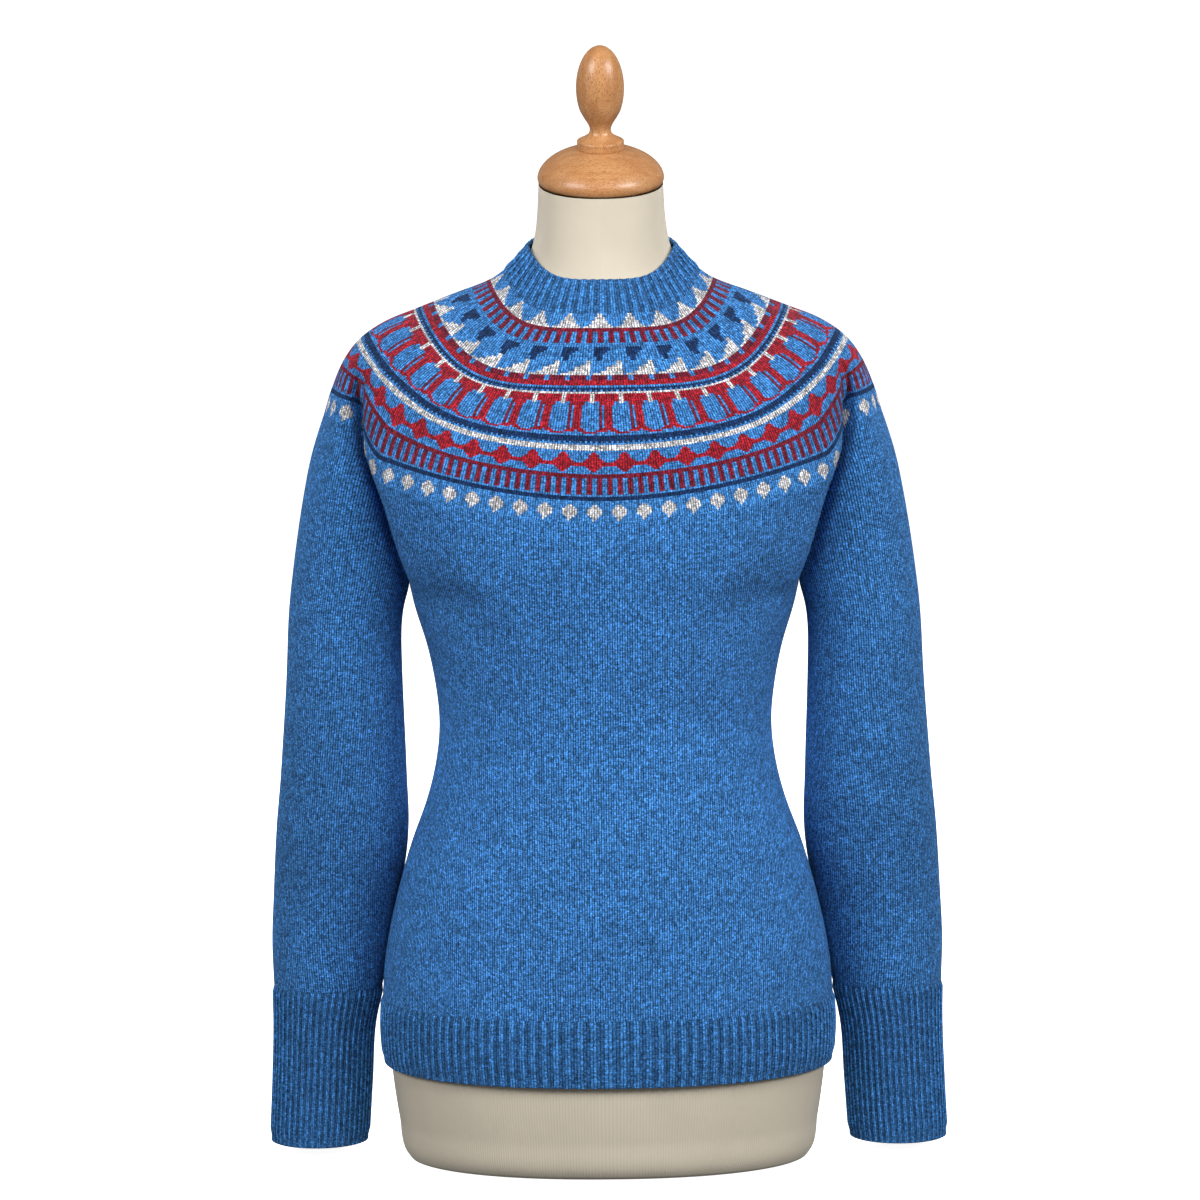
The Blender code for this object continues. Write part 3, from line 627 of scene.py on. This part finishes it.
def add_ribbing(name, rows, ribs, rim, turn_in, upward):
    """Ribbed band: raised outside, rolled over at its free edge and plain inside.

    rows run from the seam to the free edge, which is above where upward is true.
    The inside face runs turn_in deep from the rim and closes onto the wall there.
    """
    points = eased(refined(rows), RIB_EASE_PASSES)
    normals = grid_normals(points, True) * (-1 if upward else 1)
    lines, count = points.shape[:2]
    wave = rib_wave(2 * math.pi * np.arange(count) * ribs / count)[None, :, None]
    from_seam = np.arange(lines)
    rise = np.clip((lines - 1 - from_seam) / RIB_EASE_ROWS, RIM_RIB, 1.0)
    rise *= np.clip(from_seam / SEAM_EASE_ROWS, 0.0, 1.0)
    outer = points + normals * RIB_HEIGHT * wave * rise[:, None, None]
    down = points[-1] - points[-2]
    down /= np.linalg.norm(down, axis=1, keepdims=True)
    roll = [outer[-1] + (normals[-1] * (math.cos(turn) - 1) + down * math.sin(turn)) * rim / 2
            for turn in np.radians(RIM_TURNS)]
    depth = min(int(turn_in / ROW_STEP), lines - 1)
    walls = [RIB_WALL * (1.0 - TURN_IN_TAPER * (i / depth) ** 3) for i in range(1, depth + 1)]
    inner = [points[-1 - i] - normals[-1 - i] * wall for i, wall in enumerate(walls, 1)]
    inner[0] = (roll[-1] + inner[1]) / 2
    grid = np.concatenate([outer, roll, inner])
    if upward:
        grid = grid[::-1]
    stitches = measured(grid, True)
    stitches[:, :, 0] = np.arange(count + 1) * ribs * COLUMNS_PER_RIB / count + 1.0
    return grid_object(name, grid, stitches, True)


def neckband_rows():
    table = RingTable(NECK_RINGS)
    count = NECK_RIBS * POINTS_PER_RIB
    rings = [table.ring(place) for place in np.linspace(table.length, 0, NECK_ROWS)]
    return [ring_points(ring, angles_by_length(ring, np.arange(count) / count)) for ring in rings]


def even_angles(count):
    return 2 * math.pi * np.arange(count) / count


def hem_rows():
    return [body_points(row, even_angles(HEM_RIBS * HEM_POINTS_PER_RIB)) for row in HEM_ROWS]


def cuff_rows():
    return [sleeve_points(row, row.z, even_angles(CUFF_RIBS * POINTS_PER_RIB)) for row in CUFF_ROWS]


def mirrored(points):
    """The same rows on the wearer's other side, still facing out."""
    return points[:, ::-1] * np.array([-1, 1, 1])


def shrunk(rows, ease):
    """Rings moved in from the cloth, each by its own ease."""
    points = np.array(rows)
    return points - grid_normals(points, True) * np.array(ease)[:, None, None]


def form_rows():
    angles = even_angles(FORM_COLUMNS)
    skin = [ring_points(np.array(ring), angles) for ring in YOKE_RINGS]
    under = [body_points(row, angles) for row in BODY_ROWS]
    eases = [FORM_EASE] * (len(skin) + BUST_BODY_ROWS - len(BUST_EASES)) + BUST_EASES
    inside = shrunk(skin + under, eases + [FORM_BODY_EASE] * (len(under) - BUST_BODY_ROWS))
    for row in inside:
        plate = PLATE_X + PLATE_LEAN * np.maximum(row[:, 2] - BODY_ROWS[0].z, 0.0)
        limit = np.where(row[:, 2] < BODY_ROWS[1].z, math.inf, plate)
        row[:, 0] = np.clip(row[:, 0], -limit, limit)
    neck = [ring_points(np.array(ring), angles) for ring in FORM_RINGS]
    neck[0][:, 2] = CAP_CENTRE[2] + (neck[0][:, 1] - CAP_CENTRE[1]) * math.tan(CAP_TILT) - CAP_GAP
    base = [body_points(row, angles) for row in FORM_BASE_ROWS]
    return neck + list(inside) + base


def add_form():
    points = refined(form_rows())
    middle = points[-1].mean(axis=0)
    base = [middle + (points[-1] - middle) * part for part in BASE_PARTS]
    points = np.concatenate([points, base])
    stitches = measured(points, True)
    stitches[:, :, 0] = np.arange(points.shape[1] + 1) * WALES_PER_COLUMN
    return grid_object("form_jersey", points, stitches, True)


def add_turned(name, profile):
    """Turned wood on the form's tilted neck axis, from a profile run top to bottom."""
    angles = even_angles(TURN_STEPS)
    rings = [np.stack([r * np.cos(angles), r * np.sin(angles), np.full_like(angles, z)], axis=1)
             for r, z in profile]
    quads = grid_quads(len(rings), TURN_STEPS, TURN_STEPS)
    mesh = bpy.data.meshes.new(name)
    mesh.from_pydata(np.concatenate(rings).tolist(), [], quads.tolist())
    mesh.shade_smooth()
    mesh.transform(Matrix.Translation(CAP_CENTRE) @ Matrix.Rotation(CAP_TILT, 4, "X"))
    return linked(name, mesh)


def smooth_profile(profile, step, sharp):
    """A finer profile through the given points; it keeps its corners at the sharp ones."""
    profile = np.array(profile)
    breaks = sorted({0, len(profile) - 1, *sharp})
    parts = []
    for first, last in zip(breaks, breaks[1:]):
        piece = profile[first:last + 1]
        chord = chord_of(piece)
        count = max(1, int(round(chord[-1] / step)))
        parts.append(spaced(piece, chord, np.linspace(0, chord[-1], count + 1)))
    return np.concatenate([part if i == 0 else part[1:] for i, part in enumerate(parts)])


def finial_profile():
    egg = [(EGG_RADIUS * math.sin(turn), EGG_CENTRE + EGG_HALF_LENGTH * math.cos(turn))
           for turn in np.radians(EGG_TURNS)]
    return egg + FINIAL_FOOT


class Nodes:
    """Short calls for building a material's nodes."""

    def __init__(self, name):
        self.material = bpy.data.materials.new(name)
        self.material.use_nodes = True
        self.tree = self.material.node_tree
        self.surface = self.tree.nodes["Principled BSDF"]

    def plug(self, socket, value):
        if isinstance(value, bpy.types.NodeSocket):
            self.tree.links.new(value, socket)
        elif value is not None:
            socket.default_value = value

    def math(self, kind, a, b=None, c=None):
        node = self.tree.nodes.new("ShaderNodeMath")
        node.operation = kind
        for socket, value in zip(node.inputs, (a, b, c)):
            self.plug(socket, value)
        return node.outputs[0]

    def product(self, a, b):
        return self.math("MULTIPLY", a, b)

    def from_half(self, value):
        """How far the fraction of a value is from a half: 0 in the middle of a cell, 0.5 at its edge."""
        return self.math("ABSOLUTE", self.math("SUBTRACT", self.math("FRACT", value), 0.5))

    def span(self, value, low, high, out_low=0.0, out_high=1.0):
        node = self.tree.nodes.new("ShaderNodeMapRange")
        node.interpolation_type = "SMOOTHSTEP"
        for index, item in enumerate((value, low, high, out_low, out_high)):
            self.plug(node.inputs[index], item)
        return node.outputs[0]

    def split(self, vector):
        node = self.tree.nodes.new("ShaderNodeSeparateXYZ")
        self.plug(node.inputs[0], vector)
        return node.outputs[0], node.outputs[1], node.outputs[2]

    def join(self, x, y, z=0.0):
        node = self.tree.nodes.new("ShaderNodeCombineXYZ")
        for socket, value in zip(node.inputs, (x, y, z)):
            self.plug(socket, value)
        return node.outputs[0]

    def stitch_map(self):
        node = self.tree.nodes.new("ShaderNodeUVMap")
        node.uv_map = "stitch"
        return node.outputs[0]

    def place(self):
        return self.tree.nodes.new("ShaderNodeTexCoord").outputs["Object"]

    def noise(self, vector, scale, detail=2.0, roughness=0.5):
        node = self.tree.nodes.new("ShaderNodeTexNoise")
        self.plug(node.inputs["Vector"], vector)
        node.inputs["Scale"].default_value = scale
        node.inputs["Detail"].default_value = detail
        node.inputs["Roughness"].default_value = roughness
        return node.outputs["Fac"]

    def yarn_noise(self, u, v, across, down, shift=0.0, roughness=0.6):
        """Noise that follows the stitches, with its own fineness across them and down them."""
        stretched = self.join(self.product(u, across), self.product(v, down), shift)
        return self.noise(stretched, 1.0, 2.0, roughness)

    def speck(self, vector):
        node = self.tree.nodes.new("ShaderNodeTexWhiteNoise")
        self.plug(node.inputs["Vector"], vector)
        return node.outputs["Value"]

    def mix(self, factor, a, b, blend="MIX"):
        node = self.tree.nodes.new("ShaderNodeMix")
        node.data_type = "RGBA"
        node.blend_type = blend
        colours = [socket for socket in node.inputs if socket.type == "RGBA"]
        self.plug(node.inputs[0], factor)
        self.plug(colours[0], a)
        self.plug(colours[1], b)
        return [socket for socket in node.outputs if socket.type == "RGBA"][0]

    def times(self, colour, factor):
        node = self.tree.nodes.new("ShaderNodeVectorMath")
        node.operation = "SCALE"
        self.plug(node.inputs[0], colour)
        self.plug(node.inputs["Scale"], factor)
        return node.outputs[0]

    def bump(self, height, distance, strength=1.0):
        node = self.tree.nodes.new("ShaderNodeBump")
        node.inputs["Distance"].default_value = distance
        node.inputs["Strength"].default_value = strength
        self.plug(node.inputs["Height"], height)
        self.plug(self.surface.inputs["Normal"], node.outputs[0])


def wool(name, colour, zigzag, level, groove_shade, sunk_rib_shade=0.0):
    """Heathered wool in stocking stitch, its stitches laid out by the stitch map.

    colour is None where the piece carries its yarn colours. zigzag says how far the legs
    of a stitch lean and level scales the brightness. The last two set painted shade: how
    dark the gaps between the columns are painted, and how dark the sunk ribs are painted.
    """
    nodes = Nodes(name)
    u, v, _ = nodes.split(nodes.stitch_map())
    from_middle = nodes.from_half(u)
    leg_v = nodes.math("MULTIPLY_ADD", from_middle, 2.0 * zigzag, v)
    between = nodes.span(from_middle, 0.16, 0.46)
    heart = nodes.span(from_middle, 0.12, 0.0)
    row_gap = nodes.span(nodes.from_half(leg_v), 0.24, 0.50)
    uneven = nodes.span(nodes.yarn_noise(u, v, 0.9, 0.28), 0.30, 0.70, 0.55, 1.15)
    sunk = nodes.math("MULTIPLY_ADD", heart, 0.22, nodes.product(row_gap, 0.38))
    sunk = nodes.math("MULTIPLY_ADD", between, uneven, sunk)
    fibre = nodes.yarn_noise(u, v, 2.2, 0.9)
    streak = nodes.yarn_noise(u, v, 0.55, 0.16)
    cloud = nodes.noise(nodes.place(), 16.0, 3.0, 0.6)
    own = nodes.speck(nodes.join(nodes.math("FLOOR", u), nodes.math("FLOOR", leg_v)))
    fleck = nodes.noise(nodes.place(), 620.0, 2.0, 0.6)
    shade = level
    for value, low, high, spread in ((fibre, 0.32, 0.68, 0.38), (streak, 0.30, 0.70, 0.22),
                                     (cloud, 0.30, 0.70, 0.06), (own, 0.0, 1.0, 0.34),
                                     (fleck, 0.34, 0.66, 0.34)):
        shade = nodes.product(shade, nodes.span(value, low, high, 1.0 - spread, 1.0 + spread))
    # Painted shade: the gaps between the columns and rows, and the middle of each column, are darkened in
    # the colour
    dark = nodes.math("MAXIMUM", nodes.math("MULTIPLY_ADD", sunk, -groove_shade, 1.0), 0.06)
    shade = nodes.product(shade, dark)
    if sunk_rib_shade:
        # Painted shade: the sunk ribs are darkened in the colour
        from_rib = nodes.from_half(nodes.math("MULTIPLY_ADD", u, 1 / COLUMNS_PER_RIB, 0.25))
        shade = nodes.product(shade, nodes.span(from_rib, 0.17, 0.34, 1.0, 1.0 - sunk_rib_shade))
    if colour is None:
        node = nodes.tree.nodes.new("ShaderNodeVertexColor")
        node.layer_name = "yarn"
        base, pale_tint = node.outputs["Color"], (0.60, 0.62, 0.64, 1.0)
    else:
        base, pale_tint = (*colour, 1.0), (0.42, 0.62, 0.86, 1.0)
    lint = nodes.yarn_noise(u, v, 1.7, 0.9, shift=7.0, roughness=0.7)
    tinted = nodes.mix(nodes.span(lint, 0.52, 0.75, 0.0, 0.30), base, pale_tint, "SOFT_LIGHT")
    nodes.plug(nodes.surface.inputs["Base Color"], nodes.times(tinted, shade))
    height = nodes.math("MULTIPLY_ADD", fibre, 0.3, nodes.product(sunk, -1.0))
    nodes.bump(height, 0.0007, 0.9)
    nodes.surface.inputs["Roughness"].default_value = 0.92
    nodes.surface.inputs["Specular IOR Level"].default_value = 0.15
    nodes.surface.inputs["Sheen Weight"].default_value = 0.10
    nodes.surface.inputs["Sheen Roughness"].default_value = 0.6
    nodes.surface.inputs["Sheen Tint"].default_value = (0.45, 0.65, 0.90, 1.0)
    return nodes.material


def jersey(name, colour):
    """Fine cotton jersey: its wales are narrow grooves with small loops along them, and the grooves are a
    little darker in the colour as painted shade.
    """
    nodes = Nodes(name)
    u, v, _ = nodes.split(nodes.stitch_map())
    rib = nodes.span(nodes.from_half(u), 0.10, 0.50)
    loop = nodes.from_half(nodes.product(v, 2.0))
    cloud = nodes.span(nodes.noise(nodes.place(), 22.0, 3.0), 0.3, 0.7, 0.97, 1.03)
    # Painted shade: the colour is a little darker in the wales' grooves
    shade = nodes.product(cloud, nodes.math("MULTIPLY_ADD", rib, -0.07, 1.0))
    nodes.plug(nodes.surface.inputs["Base Color"], nodes.times(colour, shade))
    nodes.bump(nodes.math("MULTIPLY_ADD", loop, 0.4, nodes.product(rib, -1.0)), 0.00025, 0.5)
    nodes.surface.inputs["Roughness"].default_value = 0.85
    nodes.surface.inputs["Specular IOR Level"].default_value = 0.2
    nodes.surface.inputs["Sheen Weight"].default_value = 0.15
    return nodes.material


def beech(name, lying):
    """Varnished beech: pale warm wood with short dark flecks and soft growth lines.

    The grain runs from side to side where lying is true, and upright otherwise.
    """
    nodes = Nodes(name)
    x, y, z = nodes.split(nodes.place())
    along, across = (x, z) if lying else (z, x)
    bend = nodes.noise(nodes.place(), 12.0, 2.0)
    wavy = nodes.math("MULTIPLY_ADD", bend, 0.012, across)
    lines = nodes.join(nodes.product(wavy, 8.0), nodes.product(y, 6.0), nodes.product(along, 0.5))
    grain = nodes.noise(lines, 20.0, 3.0, 0.6)
    fleck = nodes.noise(nodes.join(nodes.product(wavy, 4.0), nodes.product(y, 4.0), along), 420.0, 1.0)
    spots = nodes.product(nodes.span(fleck, 0.53, 0.66), 0.75)
    base = nodes.mix(nodes.span(grain, 0.35, 0.65), (0.600, 0.300, 0.122, 1.0), (0.500, 0.225, 0.080, 1.0))
    base = nodes.mix(spots, base, (0.270, 0.095, 0.032, 1.0))
    nodes.plug(nodes.surface.inputs["Base Color"], base)
    nodes.surface.inputs["Roughness"].default_value = 0.42
    nodes.surface.inputs["Coat Weight"].default_value = 0.55
    nodes.surface.inputs["Coat Roughness"].default_value = 0.24
    nodes.bump(nodes.product(fleck, -1.0), 0.00005, 0.3)
    return nodes.material


def finish_piece(piece, material, node):
    """Give a piece its material and body, and hide the part of model.glb that it stands in for."""
    piece.data.materials.append(material)
    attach(piece, "root")
    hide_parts(node)


# Dress form
finish_piece(add_form(), jersey("cream_jersey", JERSEY_COLOUR), "form_torso")
cap = add_turned("form_cap_turned", smooth_profile(CAP_PROFILE, CAP_PROFILE_STEP, CAP_CORNERS))
finish_piece(cap, beech("varnished_beech_cap", lying=True), "form_cap")
finial = add_turned("form_finial_turned",
                    smooth_profile(finial_profile(), FINIAL_PROFILE_STEP, FINIAL_CORNERS))
finish_piece(finial, beech("varnished_beech_finial", lying=False), "form_finial")

# Cloth
blue = YARNS["b"]
body_wool = wool("heather_blue_wool", blue, V_DEPTH, level=1.41, groove_shade=0.90)
# The sleeves' wool is the body's wool made darker: painted shade
sleeve_wool_shaded = wool("heather_blue_sleeve_wool_shaded", blue, V_DEPTH, level=1.22, groove_shade=0.90)
rib_wool = wool("ribbed_blue_wool", blue, V_DEPTH, level=1.24, groove_shade=0.72, sunk_rib_shade=0.44)
yoke_wool = wool("fair_isle_wool", None, 0.0, level=1.27, groove_shade=0.74)

yoke_table = RingTable(YOKE_RINGS)
edge_ring = yoke_table.ring(yoke_table.length)
above_ring = yoke_table.ring(yoke_table.length - SEAM_LAP)
crease = math.radians(Ring(*edge_ring).crease_angle)
sleeve_angles = side_angles(crease)
sleeve_edge = ring_points(edge_ring, sleeve_angles)
sleeve = eased(refined(sleeve_rows(sleeve_edge)), PANEL_EASE_PASSES)
crease_line = []
for place in np.linspace(*CREASE_STRETCH, CREASE_RINGS) * yoke_table.length:
    ring = yoke_table.ring(place)
    crease_line.append(ring_points(ring, np.array([math.radians(Ring(*ring).crease_angle)]))[0])
in_armhole = sleeve[:, 0, 2] > BODY_ROWS[0].z
fold = Crease(np.concatenate([crease_line, sleeve[in_armhole, 0]]))
finish_piece(add_yoke(fold), yoke_wool, "yoke")

for name, node, towards in (("front_knit", "front_panel", FRONT), ("back_knit", "back_panel", BACK)):
    angles = front_angles(crease) + (0.0 if towards == FRONT else math.pi)
    edge = ring_points(edge_ring, angles)
    rows = eased(refined(panel_rows(towards, edge)), PANEL_EASE_PASSES)
    rows = tucked(rows, ring_points(above_ring, angles))
    piece = grid_object(name, fold.push(rows), measured(rows, False), False)
    finish_piece(piece, body_wool, node)

sleeve = tucked(sleeve, ring_points(above_ring, sleeve_angles))
for name, node, points in (("sleeve_left_knit", "sleeve_left", sleeve),
                           ("sleeve_right_knit", "sleeve_right", mirrored(sleeve))):
    piece = grid_object(name, fold.push(points), measured(points, False), False)
    finish_piece(piece, sleeve_wool_shaded, node)

neckband = add_ribbing("neckband_knit", neckband_rows(), NECK_RIBS, NECK_RIM, NECK_TURN_IN, upward=True)
finish_piece(neckband, rib_wool, "neckband")
hem = add_ribbing("hem_knit", hem_rows(), HEM_RIBS, HEM_RIM, HEM_TURN_IN, upward=False)
finish_piece(hem, rib_wool, "hem_rib")
cuff = np.array(cuff_rows())
for name, node, rows in (("cuff_left_knit", "cuff_left", cuff),
                         ("cuff_right_knit", "cuff_right", mirrored(cuff))):
    piece = add_ribbing(name, rows, CUFF_RIBS, HEM_RIM, CUFF_TURN_IN, upward=False)
    finish_piece(piece, rib_wool, node)


# Stage, light and camera
def stage_object(name, points, faces, glow):
    """Part of the plain white set: seen, but it throws no light on the sweater."""
    mesh = bpy.data.meshes.new(name)
    mesh.from_pydata(points, [], faces)
    nodes = Nodes(name)
    nodes.surface.inputs["Base Color"].default_value = (0.85, 0.85, 0.85, 1.0)
    nodes.surface.inputs["Roughness"].default_value = 1.0
    nodes.surface.inputs["Emission Color"].default_value = (1.0, 1.0, 1.0, 1.0)
    nodes.surface.inputs["Emission Strength"].default_value = glow
    mesh.materials.append(nodes.material)
    stage = linked(name, mesh)
    for way in ("visible_diffuse", "visible_glossy", "visible_transmission", "visible_shadow"):
        setattr(stage, way, False)


floor = [(x * FLOOR_REACH, y * FLOOR_REACH, FLOOR_Z) for x, y in ((-1, -1), (1, -1), (1, 1), (-1, 1))]
stage_object("floor", floor, [(0, 1, 2, 3)], FLOOR_GLOW)
walls = [(BACKDROP_RADIUS * math.cos(turn), BACKDROP_RADIUS * math.sin(turn), z)
         for z in (-BACKDROP_RADIUS, BACKDROP_RADIUS) for turn in even_angles(BACKDROP_SIDES)]
pairs = [(i, (i + 1) % BACKDROP_SIDES) for i in range(BACKDROP_SIDES)]
sides = [(following, i, i + BACKDROP_SIDES, following + BACKDROP_SIDES) for i, following in pairs]
stage_object("backdrop", walls, sides, BACKDROP_GLOW)

world = bpy.data.worlds.new("studio")
bpy.context.scene.world = world
world.use_nodes = True
background = world.node_tree.nodes["Background"]
background.inputs["Color"].default_value = WORLD_COLOUR
background.inputs["Strength"].default_value = WORLD_STRENGTH

for box in SOFTBOXES:
    light = bpy.data.lights.new(box.name, "AREA")
    light.shape = "RECTANGLE"
    light.size, light.size_y = box.size
    light.energy = box.power
    lamp = linked(box.name, light)
    lamp.location = box.place
    lamp.rotation_mode = "QUATERNION"
    lamp.rotation_quaternion = (Vector(box.target) - Vector(box.place)).to_track_quat("-Z", "Y")
    lamp.visible_glossy = box.glossy

camera_data = bpy.data.cameras.new("camera")
camera_data.sensor_width = CAMERA_SENSOR
camera_data.lens = CAMERA_LENS
camera = linked("camera", camera_data)
camera.location = CAMERA_PLACE
camera.rotation_mode = "QUATERNION"
pitch = Euler((CAMERA_PITCH, 0.0, 0.0)).to_quaternion()
camera.rotation_quaternion = pitch @ Euler((0.0, 0.0, CAMERA_ROLL)).to_quaternion()
bpy.context.scene.camera = camera
bpy.context.scene.view_settings.view_transform = "Standard"
